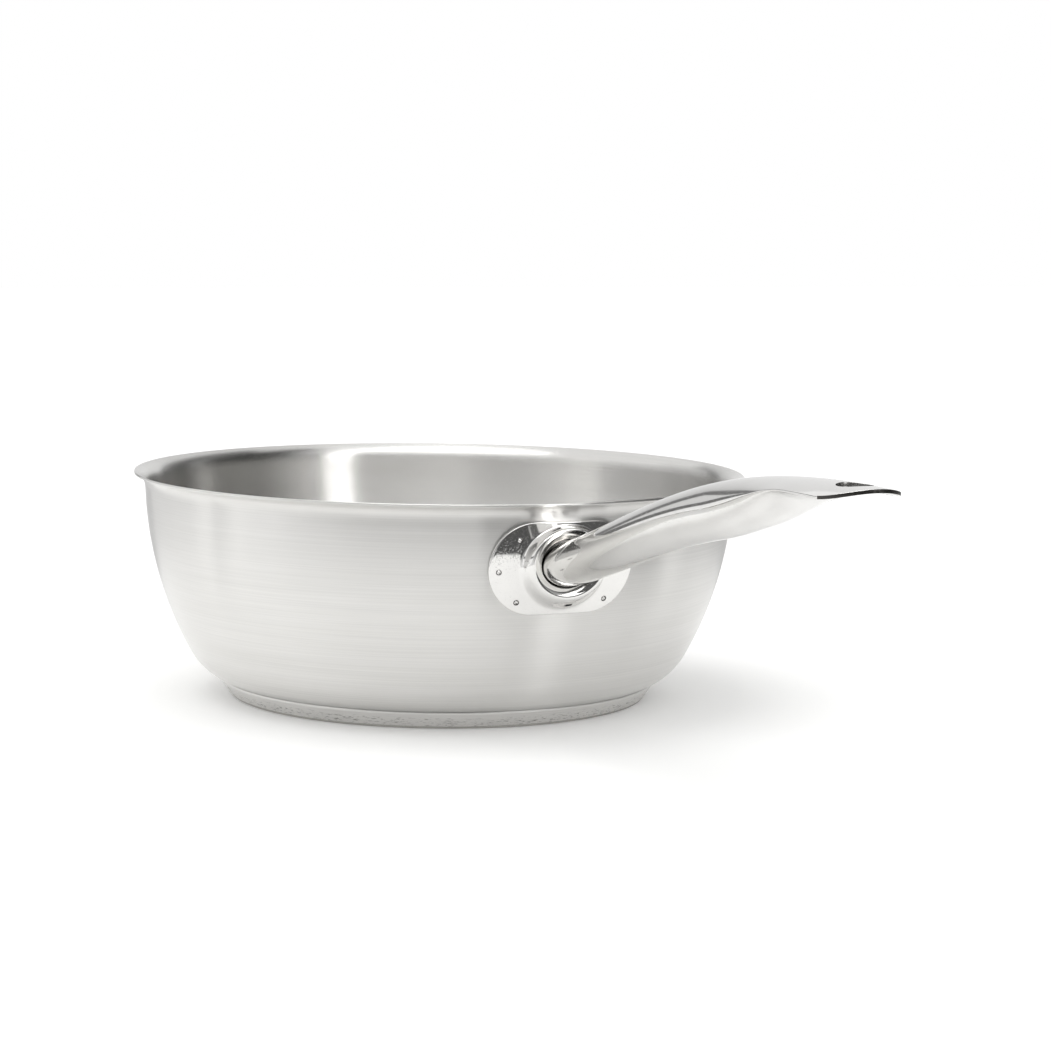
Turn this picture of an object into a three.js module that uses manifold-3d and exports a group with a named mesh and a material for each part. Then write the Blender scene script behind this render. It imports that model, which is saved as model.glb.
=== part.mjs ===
// Saute pan: a deep-drawn stainless bowl on a sandwich base, with a hollow tube handle
// that is welded into a pressed plate on the wall.
// Millimetres, +Z up. The origin is the centre of the base's underside, and the handle
// runs along +X.
import * as THREE from 'three';
import { mergeVertices } from 'three/addons/utils/BufferGeometryUtils.js';
import Module from 'manifold-3d';

const wasm = await Module();
wasm.setup();

// Bowl
const rimDiameter = 250;
const panHeight = 91.5;
const bowlSheet = 1.0;
const lipRadius = 4.5;          // bend of the pouring lip
const uprightDrop = 1.4;        // the wall's curve would stand upright this far below the rim
const wallRadius = 149;         // long curve of the wall, seen from the side
const cornerRadius = 25.6;      // curve between the wall and the floor

// Sandwich base
const coreThickness = 4.3;
const coreOverhang = 9.7;       // how far the core reaches past the bowl's flat floor
const coreTaper = 3.4;          // how much narrower the core is at its foot
const footPlateThickness = 0.8;
const footPlateInset = 0.7;     // step between the core's foot and the plate's edge

// Handle plate
const plateWidth = 59.6;        // along the wall
const plateHeight = 36.2;
const plateDrop = 25;           // plate's centre below the rim
const plateSheet = 1.4;
const plateFitGap = 0.3;        // between the plate and the wall
const bossReach = 7.2;          // width of the boss around the hole
const bossSag = 1.2;            // how much wider the boss is below, and narrower above
const bossCrownShare = 0.45;    // share of the boss's width from the hole's edge to its top
const bossCrownHeight = 5;      // above the plate's face
const bossRimHeight = 3.3;      // of the hole's edge, above the plate's face
const drainSlotLength = 3.2;
const drainSlotWidth = 0.9;
const drainSlotShare = 0.76;    // share of the boss's width from the hole's edge to the slot
const drainSlotOffset = 2;      // from the boss's middle, along the wall

// Spot welds, placed from the plate's edges
const weldRadius = 1.0;
const weldRing = 0.35;          // gap around each nugget
const weldCrown = 0.15;
const sideWeldInset = 3.9;      // from the plate's ends
const cornerWeldInset = 11.3;
const cornerWeldMargin = 6.1;   // from the plate's long edges
const weldDrop = 0.7;           // the pattern sits this far below the plate's centre

// Handle tube; its reach is counted from the wall at the plate's centre
const handleReach = 221.5;
const rootRise = 0.8;           // tube's axis above the plate's centre, at the wall
const ridgeRise = 42.9;         // of the tube's upper line, from the wall to the tip
const rootSlope = 0.224;
const rootPull = 60;            // how long the upper line keeps the root's slope
const tipSlope = -0.032;
const tipPull = 111;
const tubeSheet = 0.7;
const rootHalfWidth = 10.75;
const rootHalfHeight = 8.9;
const rootTaperLength = 125;    // over which the oval root becomes the round grip
const gripRadius = 9.95;
const rootGap = 1.2;            // between the tube's end and the wall
const rootClearance = 0.45;     // between the tube and the hole in the boss
const leanLength = 22;          // over which the end's slant follows the wall
const leastBore = 0.7;          // where the bore is lower than this, the sheets are pressed together

// Pressed end of the handle, counted back from the tip
const tongueHalfWidth = 14.9;
const tongueCrown = 3.2;        // arch of the flattened end
const topPressStart = 96;
const topPressEnd = 34.5;
const bellyPressStart = 66.5;
const bellyPressEnd = 3.5;
const hangHoleDiameter = 12;
const hangHoleSetback = 13.6;

// Root weld
const rootWeldGap = 0.3;
const rootWeldWidth = 2.2;
const rootWeldHeight = 1.8;

// Facets
const bowlSegments = 64;
const arcSteps = 6;
const plateSegments = 56;
const bossSteps = 8;
const tubeSides = 28;
const rootRings = 5;            // rings along the tube, by stretch
const gripRings = 8;
const pressRings = 14;
const tipRings = 8;
const holeSegments = 32;
const weldSegments = 12;
const tipTurn = 0.96 * Math.PI / 2;     // the round tip ends in a short flat, not in a point
const punchFactor = 4;          // a punch is this many times longer than what it goes through

const steelBrushed = { color: 0xc9c7c3, metalness: 1, roughness: 0.38 };
const steelPolished = { color: 0xd6d5d2, metalness: 1, roughness: 0.12 };
const aluminium = { color: 0xb4b3b0, metalness: 1, roughness: 0.5 };

// Shared helpers

function named(name, geometry, finish) {
  const mesh = new THREE.Mesh(geometry, new THREE.MeshStandardMaterial(finish));
  mesh.name = name;
  return mesh;
}

function welded(geometry) {
  const bare = geometry.clone();
  bare.deleteAttribute('normal');
  bare.deleteAttribute('uv');
  return mergeVertices(bare, 1e-5);
}

function toSolid(geometry) {
  const closed = welded(geometry);
  return new wasm.Manifold(new wasm.Mesh({
    numProp: 3,
    vertProperties: new Float32Array(closed.attributes.position.array),
    triVerts: new Uint32Array(closed.index.array),
  }));
}

function fromSolid(solid) {
  const mesh = solid.getMesh();
  const geometry = new THREE.BufferGeometry();
  geometry.setAttribute('position', new THREE.BufferAttribute(mesh.vertProperties, 3));
  geometry.setIndex(new THREE.BufferAttribute(mesh.triVerts, 1));
  geometry.computeVertexNormals();
  return geometry;
}

function cutFrom(geometry, cutters) {
  return fromSolid(cutters.reduce((solid, cutter) => solid.subtract(toSolid(cutter)), toSolid(geometry)));
}

function smoothStep(value, start, end) {
  return THREE.MathUtils.smoothstep(value, start, end);
}

// Turns a closed profile of (radius, height) points about the Z axis.
function turned(profile) {
  const geometry = new THREE.LatheGeometry(profile, bowlSegments);
  geometry.rotateX(Math.PI / 2);
  return welded(geometry);
}

// Joins equal rings of points into a closed skin. A skin with caps ends in a flat fan at
// its first and last ring; one without caps runs round to its first ring again.
function skin(rings, capped) {
  const sides = rings[0].length;
  const positions = rings.flat().flatMap((point) => point.toArray());
  const faces = [];
  const links = capped ? rings.length - 1 : rings.length;
  for (let ring = 0; ring < links; ring += 1) {
    const next = (ring + 1) % rings.length;
    for (let side = 0; side < sides; side += 1) {
      const beside = (side + 1) % sides;
      const corner = ring * sides + side;
      const cornerBeside = ring * sides + beside;
      const across = next * sides + side;
      const acrossBeside = next * sides + beside;
      faces.push(corner, cornerBeside, acrossBeside, corner, acrossBeside, across);
    }
  }
  if (capped) {
    const last = (rings.length - 1) * sides;
    for (let side = 1; side < sides - 1; side += 1) {
      faces.push(0, side + 1, side);
      faces.push(last, last + side, last + side + 1);
    }
  }
  const geometry = new THREE.BufferGeometry();
  geometry.setAttribute('position', new THREE.Float32BufferAttribute(positions, 3));
  geometry.setIndex(faces);
  return geometry;
}

// Bowl: the outside is a flat floor, a corner arc, a long wall arc and the lip's arc, each
// tangent to the next, and the inside is the same line moved in by the sheet.

const baseThickness = coreThickness + footPlateThickness;
const uprightHeight = panHeight - uprightDrop;
const lipShare = lipRadius / wallRadius;
const lipStart = (panHeight - bowlSheet - lipRadius + lipShare * uprightHeight) / (1 + lipShare);
const lipAngle = Math.asin((uprightHeight - lipStart) / wallRadius);
const uprightRadius = rimDiameter / 2 - lipRadius * Math.cos(lipAngle)
  + wallRadius * (1 - Math.cos(lipAngle));
const wallCentre = new THREE.Vector2(uprightRadius - wallRadius, uprightHeight);
const cornerHeight = baseThickness + cornerRadius;
const cornerAngle = Math.asin((uprightHeight - cornerHeight) / (wallRadius - cornerRadius));
const floorRadius = wallCentre.x + (wallRadius - cornerRadius) * Math.cos(cornerAngle);
const cornerCentre = new THREE.Vector2(floorRadius, cornerHeight);
const lipCentre = new THREE.Vector2(
  wallCentre.x + (wallRadius + lipRadius) * Math.cos(lipAngle),
  wallCentre.y - (wallRadius + lipRadius) * Math.sin(lipAngle),
);

function arc(centre, radius, from, to) {
  return Array.from({ length: arcSteps + 1 }, (_, step) => {
    const angle = from + (to - from) * step / arcSteps;
    return new THREE.Vector2(centre.x + radius * Math.cos(angle), centre.y + radius * Math.sin(angle));
  });
}

function bowlLine(inset) {
  const corner = arc(cornerCentre, cornerRadius - inset, -Math.PI / 2, -cornerAngle);
  const wall = arc(wallCentre, wallRadius - inset, -cornerAngle, -lipAngle);
  const lip = arc(lipCentre, lipRadius + inset, Math.PI - lipAngle, Math.PI / 2);
  return [...corner, ...wall.slice(1), ...lip.slice(1)];
}

// Adds a point to a line at the given radius, on the chord that crosses it.
function splitAtRadius(line, radius) {
  const after = line.findIndex((point) => point.x > radius);
  const before = line[after - 1];
  const share = (radius - before.x) / (line[after].x - before.x);
  return [...line.slice(0, after), before.clone().lerp(line[after], share), ...line.slice(after)];
}

const coreRadius = floorRadius + coreOverhang;
const bowlOutside = splitAtRadius(bowlLine(0), coreRadius);

function vesselGeometry() {
  const underside = new THREE.Vector2(0, baseThickness);
  const floor = new THREE.Vector2(0, baseThickness + bowlSheet);
  return turned([underside, ...bowlOutside, ...bowlLine(bowlSheet).reverse(), floor]);
}

// Sandwich base: the core fills the space under the floor and the start of the corner.

const coreFootRadius = coreRadius - coreTaper;

function baseCoreGeometry() {
  const seat = bowlOutside.filter((point) => point.x <= coreRadius);
  return turned([
    new THREE.Vector2(0, footPlateThickness),
    new THREE.Vector2(coreFootRadius, footPlateThickness),
    ...seat.reverse(),
    new THREE.Vector2(0, baseThickness),
  ]);
}

function basePlateGeometry() {
  const edge = coreFootRadius - footPlateInset;
  return turned([
    new THREE.Vector2(0, 0),
    new THREE.Vector2(edge, 0),
    new THREE.Vector2(edge, footPlateThickness),
    new THREE.Vector2(0, footPlateThickness),
  ]);
}

// Handle plate: laid on the wall in its own coordinates, with across and up measured along
// the wall from the plate's centre, and lift measured square to the wall.

const plateCentreHeight = panHeight - plateDrop;
const plateAngle = Math.asin((uprightHeight - plateCentreHeight) / wallRadius);
const plateCentreRadius = wallCentre.x + wallRadius * Math.cos(plateAngle);

function onWall(across, up, lift) {
  const tilt = plateAngle - up / wallRadius;
  const radius = wallCentre.x + (wallRadius + lift) * Math.cos(tilt);
  const turn = across / plateCentreRadius;
  return new THREE.Vector3(
    radius * Math.cos(turn),
    radius * Math.sin(turn),
    wallCentre.y - (wallRadius + lift) * Math.sin(tilt),
  );
}

function wallPlace(across, up, lift) {
  const outward = onWall(across, up, 1).sub(onWall(across, up, 0));
  const place = new THREE.Object3D();
  place.position.copy(onWall(across, up, lift));
  place.quaternion.setFromUnitVectors(new THREE.Vector3(0, 0, 1), outward.normalize());
  place.updateMatrix();
  return place;
}

const plateFace = plateFitGap + plateSheet;
const rootAngle = Math.atan(rootSlope);
const boreLean = Math.tan(rootAngle + plateAngle);
const boreHalfWidth = rootHalfWidth + rootClearance;
const boreStretch = Math.cos(rootAngle) / Math.cos(rootAngle + plateAngle);
const boreHalfHeight = rootHalfHeight * boreStretch + rootClearance;

// Height of the boss above the wall. The share runs from 0 at the hole's edge to 1 at the
// boss's foot.
function bossLift(share) {
  const crown = plateFace + bossCrownHeight;
  const rim = plateFace + bossRimHeight;
  if (share < bossCrownShare) {
    return rim + (crown - rim) * Math.sin(Math.PI / 2 * share / bossCrownShare);
  }
  return plateFace + bossCrownHeight * (1 - smoothStep(share, bossCrownShare, 1));
}

// A point around the hole. Everything there leans along the handle's axis.
function aroundBore(angle, distance, lift) {
  const across = (boreHalfWidth + distance) * Math.cos(angle);
  const up = rootRise + (boreHalfHeight + distance) * Math.sin(angle) + lift * boreLean;
  return onWall(across, up, lift);
}

function aroundBoss(angle, share, lift) {
  return aroundBore(angle, share * (bossReach - bossSag * Math.sin(angle)), lift);
}

// A point on the plate's outline, which has two straight edges and two round ends.
function onOutline(angle, lift) {
  const endRadius = plateHeight / 2;
  const endCentre = plateWidth / 2 - endRadius;
  const side = Math.sign(Math.cos(angle));
  const reach = Math.abs(Math.cos(angle)) * (endCentre + endRadius);
  const rise = Math.sin(angle) * endRadius;
  const roundRise = Math.sqrt(Math.max(0, endRadius ** 2 - Math.max(0, reach - endCentre) ** 2));
  return onWall(side * reach, Math.sign(rise) * Math.max(Math.abs(rise), roundRise), lift);
}

function plateRing(pointAt) {
  return Array.from({ length: plateSegments }, (_, step) => (
    pointAt((step + 0.5) / plateSegments * 2 * Math.PI)
  ));
}

function handlePlateGeometry(weldPlaces) {
  const shares = Array.from({ length: bossSteps + 1 }, (_, step) => step / bossSteps);
  const outer = shares.map((share) => plateRing((angle) => aroundBoss(angle, share, bossLift(share))));
  const inner = shares.map((share) => (
    plateRing((angle) => aroundBoss(angle, share, bossLift(share) - plateSheet))
  ));
  const face = plateRing((angle) => onOutline(angle, plateFace));
  const back = plateRing((angle) => onOutline(angle, plateFitGap));
  const sheet = skin([...outer, face, back, ...inner.reverse()].reverse(), false);

  const weldHoles = weldPlaces.map((place) => {
    const radius = weldRadius + weldRing;
    const hole = new THREE.CylinderGeometry(radius, radius, punchFactor * plateFace, weldSegments);
    return hole.rotateX(Math.PI / 2).applyMatrix4(place.matrix);
  });
  const slotLift = bossLift(drainSlotShare);
  const slotReach = boreHalfHeight + drainSlotShare * (bossReach + bossSag);
  const slot = new THREE.BoxGeometry(drainSlotWidth, drainSlotLength, punchFactor * plateFace);
  slot.applyMatrix4(wallPlace(drainSlotOffset, rootRise - slotReach + slotLift * boreLean, slotLift).matrix);
  return cutFrom(sheet, [...weldHoles, slot]);
}

function spotWeldGeometry() {
  const geometry = new THREE.LatheGeometry([
    new THREE.Vector2(0, plateFitGap),
    new THREE.Vector2(weldRadius, plateFitGap),
    new THREE.Vector2(weldRadius, plateFace),
    new THREE.Vector2(weldRadius / 2, plateFace + weldCrown),
    new THREE.Vector2(0, plateFace + weldCrown),
  ], weldSegments);
  return welded(geometry.rotateX(Math.PI / 2));
}

function spotWeldPlaces() {
  const sideReach = plateWidth / 2 - sideWeldInset;
  const cornerReach = plateWidth / 2 - cornerWeldInset;
  const cornerRise = plateHeight / 2 - cornerWeldMargin;
  const sides = [-1, 1].map((side) => wallPlace(side * sideReach, -weldDrop, 0));
  const corners = [-1, 1].flatMap((side) => [-1, 1].map((level) => (
    wallPlace(side * cornerReach, level * cornerRise - weldDrop, 0)
  )));
  return [...sides, ...corners];
}

// Root weld: a bead behind the boss, around the tube's end.
function rootWeldGeometry() {
  const inside = rootWeldGap - rootClearance;
  const outside = inside + rootWeldWidth;
  const high = bossLift(0) - plateSheet - rootWeldGap;
  const low = high - rootWeldHeight;
  const section = [[inside, low], [outside, low], [outside, high], [inside, high]];
  const rings = section.map(([distance, lift]) => plateRing((angle) => aroundBore(angle, distance, lift)));
  return skin(rings, false);
}

// Handle tube: rings of points along +X. The upper line is one curve from the root to the
// tip; the press brings first the top and then the belly of the tube towards it.

const tipX = plateCentreRadius + handleReach;
const rootX = plateCentreRadius + rootGap;
const tipArcX = tipX - tongueHalfWidth;
const ridgeRoot = plateCentreHeight + rootRise + rootHalfHeight;
const ridgeTip = ridgeRoot + ridgeRise;
const ridgeLine = new THREE.CubicBezierCurve(
  new THREE.Vector2(plateCentreRadius, ridgeRoot),
  new THREE.Vector2(plateCentreRadius + rootPull, ridgeRoot + rootPull * rootSlope),
  new THREE.Vector2(tipX - tipPull, ridgeTip - tipPull * tipSlope),
  new THREE.Vector2(tipX, ridgeTip),
);

// Height of the upper line at a distance along X, found by halving the curve's range.
function ridgeHeight(x) {
  let low = 0;
  let high = 1;
  for (let round = 0; round < 40; round += 1) {
    const middle = (low + high) / 2;
    if (ridgeLine.getPoint(middle).x < x) {
      low = middle;
    } else {
      high = middle;
    }
  }
  return ridgeLine.getPoint(low).y;
}

function sectionAt(x) {
  const taper = smoothStep(x, plateCentreRadius, plateCentreRadius + rootTaperLength);
  const topPress = smoothStep(x, tipX - topPressStart, tipX - topPressEnd);
  const bellyPress = smoothStep(x, tipX - bellyPressStart, tipX - bellyPressEnd);
  const half = THREE.MathUtils.lerp(rootHalfHeight, gripRadius, taper);
  const tubeHalfWidth = THREE.MathUtils.lerp(rootHalfWidth, gripRadius, taper);
  const widen = smoothStep(x, tipX - topPressStart, tipArcX);
  const crown = THREE.MathUtils.lerp(half, tongueCrown, topPress);
  return {
    x,
    halfWidth: THREE.MathUtils.lerp(tubeHalfWidth, tongueHalfWidth, widen),
    crown,
    belly: THREE.MathUtils.lerp(half, -tongueCrown, bellyPress),
    edge: 2 * tubeSheet * bellyPress,       // the two sheets, pressed together
    edgeHeight: ridgeHeight(x) - crown,
    topPower: 1 + topPress,
    bellyPower: 1 + bellyPress,
    lean: Math.tan(plateAngle) * (1 - smoothStep(x, rootX, rootX + leanLength)),
  };
}

// One ring of the tube's skin. The inset is 0 outside and the sheet's thickness inside; the
// trim is the half width that the tip's round end leaves.
function tubeRing(section, inset, trim) {
  const middle = inset > 0 ? section.edge / 2 : 0;
  const reach = section.halfWidth - inset;
  return Array.from({ length: tubeSides }, (_, step) => {
    const angle = (step + 0.5) / tubeSides * 2 * Math.PI;
    const y = Math.min(reach, trim) * Math.cos(angle);
    const fullness = Math.sqrt(Math.max(0, 1 - (y / reach) ** 2));
    const above = -middle + (section.crown + middle - inset) * fullness ** section.topPower;
    const below = middle - section.edge
      - (section.belly + middle - inset) * fullness ** section.bellyPower;
    const height = Math.sin(angle) > 0 ? above : below;
    return new THREE.Vector3(section.x + section.lean * height, y, section.edgeHeight + height);
  });
}

function spread(from, to, count) {
  return Array.from({ length: count }, (_, step) => from + (to - from) * step / count);
}

function handleTubeGeometry() {
  const tubeStops = [
    ...spread(rootX, rootX + leanLength, rootRings),
    ...spread(rootX + leanLength, tipX - topPressStart, gripRings),
    ...spread(tipX - topPressStart, tipArcX, pressRings),
  ];
  const tipTurns = [...spread(0, tipTurn, tipRings), tipTurn];
  const outer = [
    ...tubeStops.map((x) => tubeRing(sectionAt(x), 0, Infinity)),
    ...tipTurns.map((turn) => tubeRing(
      sectionAt(tipArcX + tongueHalfWidth * Math.sin(turn)), 0, tongueHalfWidth * Math.cos(turn),
    )),
  ];
  const sheets = 2 * tubeSheet;
  const hollow = tubeStops.map(sectionAt).filter((section) => (
    section.crown + section.belly + section.edge > sheets + leastBore
  ));
  const inner = hollow.map((section) => tubeRing(section, tubeSheet, Infinity));

  const holeX = tipX - hangHoleSetback;
  const holeRadius = hangHoleDiameter / 2;
  const hole = new THREE.CylinderGeometry(holeRadius, holeRadius, punchFactor * gripRadius, holeSegments);
  hole.rotateX(Math.PI / 2).translate(holeX, 0, ridgeHeight(holeX));

  const body = toSolid(skin(outer, true));
  const mouth = inner[0].map((point) => point.clone().setX(point.x - leanLength));
  const bore = toSolid(skin([mouth, ...inner], true));
  return fromSolid(body.subtract(bore).subtract(toSolid(hole)));
}

// Assembly

const pan = new THREE.Group();
const weldPlaces = spotWeldPlaces();

pan.add(named('vessel', vesselGeometry(), steelBrushed));
pan.add(named('base_core', baseCoreGeometry(), aluminium));
pan.add(named('base_plate', basePlateGeometry(), steelBrushed));
pan.add(named('handle_plate', handlePlateGeometry(weldPlaces), steelPolished));
weldPlaces.forEach((place, index) => {
  const weld = named(`spot_weld_${index + 1}`, spotWeldGeometry(), steelPolished);
  weld.position.copy(place.position);
  weld.quaternion.copy(place.quaternion);
  pan.add(weld);
});
pan.add(named('handle_root_weld', rootWeldGeometry(), steelBrushed));
pan.add(named('handle_tube', handleTubeGeometry(), steelPolished));

export default pan;
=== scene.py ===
# Saute pan of brushed and polished stainless steel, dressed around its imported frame.
# Blender works in metres, with +Z up and the handle along +X. The pan's own sizes are
# written in millimetres, as a maker would write them, and MM turns them to metres.
import math

import bmesh
import bpy
from mathutils import Matrix, Vector


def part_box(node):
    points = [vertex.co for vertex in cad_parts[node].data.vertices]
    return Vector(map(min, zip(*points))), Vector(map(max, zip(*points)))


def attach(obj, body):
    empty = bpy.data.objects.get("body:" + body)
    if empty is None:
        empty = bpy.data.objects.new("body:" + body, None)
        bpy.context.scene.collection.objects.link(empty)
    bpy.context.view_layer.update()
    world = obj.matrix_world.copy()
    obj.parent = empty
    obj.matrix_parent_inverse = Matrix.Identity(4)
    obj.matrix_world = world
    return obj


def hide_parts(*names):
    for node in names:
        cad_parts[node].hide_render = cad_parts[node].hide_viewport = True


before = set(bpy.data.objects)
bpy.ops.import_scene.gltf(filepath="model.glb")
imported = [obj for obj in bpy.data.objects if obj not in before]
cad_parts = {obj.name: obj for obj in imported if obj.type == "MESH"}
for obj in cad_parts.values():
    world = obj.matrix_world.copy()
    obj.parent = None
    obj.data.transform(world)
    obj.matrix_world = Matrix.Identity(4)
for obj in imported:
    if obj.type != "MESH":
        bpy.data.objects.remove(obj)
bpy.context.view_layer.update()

MM = 0.001
QUARTER = math.pi / 2       # of a turn


# Sizes read from the frame

def box_mm(node):
    low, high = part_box(node)
    return low / MM, high / MM


vessel_low, vessel_high = box_mm("vessel")
foot_high = box_mm("base_plate")[1]

RIM_RADIUS = vessel_high.y
PAN_HEIGHT = vessel_high.z
BASE_THICKNESS = vessel_low.z
CORE_RADIUS = box_mm("base_core")[1].y
FOOT_RADIUS = foot_high.y
FOOT_THICKNESS = foot_high.z
TIP_X = box_mm("handle_tube")[1].x

# Bowl
BOWL_SHEET = 1.0
LIP_RADIUS = 4.5            # bend of the pouring lip
UPRIGHT_DROP = 1.4          # the wall's curve would stand upright this far below the rim
WALL_RADIUS = 149.0         # long curve of the wall, seen from the side
CORNER_RADIUS = 25.6        # curve between the wall and the floor
RIM_ROUND = 0.3             # soft edge of the cut sheet
OUTLINE_STEP = 0.5          # between the points of the bowl's outline
OUTLINE_PASSES = 24         # of evening out, because the sheet's bends run into each other
CORNER_SHADE_REACH = 6.0       # painted shade darkens the sheet this far out from the core's edge
RIM_FADE = 3.0              # the outside's finish turns to the inside's finer brush and painted shade this close to the rim

# Sandwich base
CORE_TAPER = 3.4            # how much narrower the core is at its foot
CORE_EDGE_ROUND = 0.5
CORE_LAND = 0.7             # height of the turned upright edge at the core's top
LAND_EDGE = 0.07            # of its broken top edge: this far in, and twice as far down
LAND_FOOT = (0.175, 1.05)   # where that edge runs out into the taper: in, down
CORE_GROOVE = 0.08          # between that edge and the bowl
PIT_TOP = 5.0               # height below which the core's edge is pitted
PIT_FULL = 3.6              # height below which it is pitted most
FOOT_EDGE_ROUND = 0.3

# Handle plate
PLATE_WIDTH = 59.6          # along the wall
PLATE_HEIGHT = 36.2
PLATE_DROP = 25.0           # plate's centre below the rim
PLATE_SHEET = 1.4
PLATE_FIT_GAP = 0.3         # between the plate and the wall
PLATE_EDGE_ROUND = 0.55
BOSS_REACH = 7.2            # width of the boss around the hole
BOSS_SAG = 1.2              # how much wider the boss is below, and narrower above
BOSS_CROWN_SHARE = 0.45     # share of the boss's width from the hole's edge to its top
BOSS_CROWN_HEIGHT = 5.0
BOSS_RIM_HEIGHT = 3.3       # of the hole's edge, above the plate's face
BORE_LIP = ((0.3, 0.4), (0.25, 0.27), (0.18, 0.16), (0.09, 0.07))     # rolled edge: inward, down
DRAIN_SLOT_LENGTH = 3.2
DRAIN_SLOT_WIDTH = 1.25
DRAIN_SLOT_SHARE = 0.76     # share of the boss's width from the hole's edge to the slot
DRAIN_SLOT_OFFSET = 2.0     # from the boss's middle, along the wall

# Spot welds
WELD_RADIUS = 0.85
WELD_RING = 0.28            # gap around each nugget
WELD_CROWN = 0.15
WELD_SHOULDER_SHARE = 0.9   # shares of the nugget's radius: its shoulder, crown and dimple
WELD_CROWN_SHARE = 0.65
WELD_DIMPLE_SHARE = 0.4
SIDE_WELD_INSET = 3.9       # from the plate's ends
CORNER_WELD_INSET = 11.3
CORNER_WELD_MARGIN = 6.1    # from the plate's long edges
WELD_DROP = 0.7             # the pattern sits this far below the plate's centre

# Handle tube
ROOT_RISE = 0.8             # tube's axis above the plate's centre, at the wall
RIDGE_RISE = 42.9           # of the tube's upper line, from the wall to the tip
ROOT_SLOPE = 0.224
ROOT_PULL = 60.0            # how long the upper line keeps the root's slope
TIP_SLOPE = -0.032
TIP_PULL = 111.0
TUBE_SHEET = 0.7
ROOT_HALF_WIDTH = 10.75
ROOT_HALF_HEIGHT = 8.9
ROOT_TAPER_LENGTH = 125.0   # over which the oval root becomes the round grip
GRIP_RADIUS = 9.95
ROOT_GAP = 1.2              # between the tube's end and the wall
ROOT_CLEARANCE = 0.25       # between the tube and the hole in the boss
LEAN_LENGTH = 22.0          # over which the slant of the tube's end along the wall fades out
LEAST_BORE = 0.7            # where the bore is lower than this, the sheets are pressed together

# Pressed end of the handle, with starts and ends counted back from the tip
TONGUE_HALF_WIDTH = 14.9
TONGUE_CROWN = 3.2          # arch of the flattened end
TOP_PRESS_START = 96.0
TOP_PRESS_END = 34.5
TOP_PRESS_POWER = 3         # keeps the tube's round shoulders until late in the press
BELLY_PRESS_START = 66.5
BELLY_PRESS_END = 3.5
EDGE_ROUNDS = (0.12, 0.45)  # of the tongue's upper and lower edges, where the press rolls them
HANG_HOLE_DIAMETER = 12.0
HANG_HOLE_SETBACK = 13.6
SHEARED_LENGTH = 12.0       # of the round tip, whose edge is cut through both sheets
SHEARED_MARGIN = 0.4        # a cut face lies this close to the outline or to the hole
SHEARED_SLOPE = 0.5         # upward part of a face's normal, past which it is no cut face
HOLE_WALL_DULL_AND_SHADE = 0.55        # of the cut edge's dullness and painted shade, on the wall of the hang hole

# Facets of the fine meshes
TURN_SEGMENTS = 288
TURN_RADIUS = 100.0         # of the circle that an outline is swept round
ARC_STEPS = 20
EDGE_STEPS = 6
RIM_STEPS = 4
SLOT_STEPS = 8
PLATE_SEGMENTS = 360
BOSS_STEPS = 36
FACE_STEPS = 12
TUBE_SIDES = 128
TUBE_RING_SPACING = 1.3
TIP_RINGS = 30
BORE_RINGS = 30
HOLE_SEGMENTS = 96
WELD_SEGMENTS = 32
HALVINGS = 40               # of the search for a place on the handle's upper line
MERGE_DISTANCE = 0.002
SHARP_ANGLE = math.radians(38)


# Shared helpers

def smooth_step(value, start, end):
    share = min(1.0, max(0.0, (value - start) / (end - start)))
    return share * share * (3 - 2 * share)


def mix(start, end, share):
    return start + (end - start) * share


def full_turn(count, offset=0.0):
    """Angles in even steps once round. The offset is a share of a step."""
    return [(step + offset) / count * 2 * math.pi for step in range(count)]


def linear_colour(hex_colour):
    """Linear colour of an sRGB hex value such as d8d6d2."""
    parts = [int(hex_colour[place:place + 2], 16) / 255 for place in (0, 2, 4)]
    linear = [part / 12.92 if part <= 0.04045 else ((part + 0.055) / 1.055) ** 2.4 for part in parts]
    return (*linear, 1.0)


def add_node(tree, kind, settings=None, inputs=None):
    """Adds a node, sets its properties, and sets or links its inputs."""
    node = tree.nodes.new(kind)
    for name, value in (settings or {}).items():
        setattr(node, name, value)
    for socket, value in (inputs or {}).items():
        if isinstance(value, bpy.types.NodeSocket):
            tree.links.new(value, node.inputs[socket])
        else:
            node.inputs[socket].default_value = value
    return node


def add_object(name, data):
    piece = bpy.data.objects.new(name, data)
    bpy.context.scene.collection.objects.link(piece)
    return piece


def mesh_from_rings(name, rings, closed):
    """Joins equal rings of points in millimetres. Open rings get flat caps at both ends."""
    sides = len(rings[0])
    points = [Vector(point) * MM for ring in rings for point in ring]
    faces = []
    for ring in range(len(rings) if closed else len(rings) - 1):
        following = (ring + 1) % len(rings)
        for side in range(sides):
            beside = (side + 1) % sides
            faces.append((
                ring * sides + side, ring * sides + beside,
                following * sides + beside, following * sides + side,
            ))
    if not closed:
        last = (len(rings) - 1) * sides
        faces.append(tuple(range(sides)))
        faces.append(tuple(range(last + sides - 1, last - 1, -1)))
    mesh = bpy.data.meshes.new(name)
    mesh.from_pydata(points, [], faces)
    face_outwards(mesh)
    return mesh


def face_outwards(mesh):
    shell = bmesh.new()
    shell.from_mesh(mesh)
    bmesh.ops.remove_doubles(shell, verts=shell.verts, dist=MERGE_DISTANCE * MM)
    bmesh.ops.recalc_face_normals(shell, faces=shell.faces)
    shell.to_mesh(mesh)
    shell.free()


def shade_smooth(mesh):
    mesh.shade_smooth()
    mesh.set_sharp_from_angle(angle=SHARP_ANGLE)


def as_plain_mesh(piece):
    """Turns a piece's modifiers into its mesh and removes them."""
    bpy.context.view_layer.update()
    depsgraph = bpy.context.evaluated_depsgraph_get()
    made = bpy.data.meshes.new_from_object(piece.evaluated_get(depsgraph))
    piece.modifiers.clear()
    piece.data = made
    return piece


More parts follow.
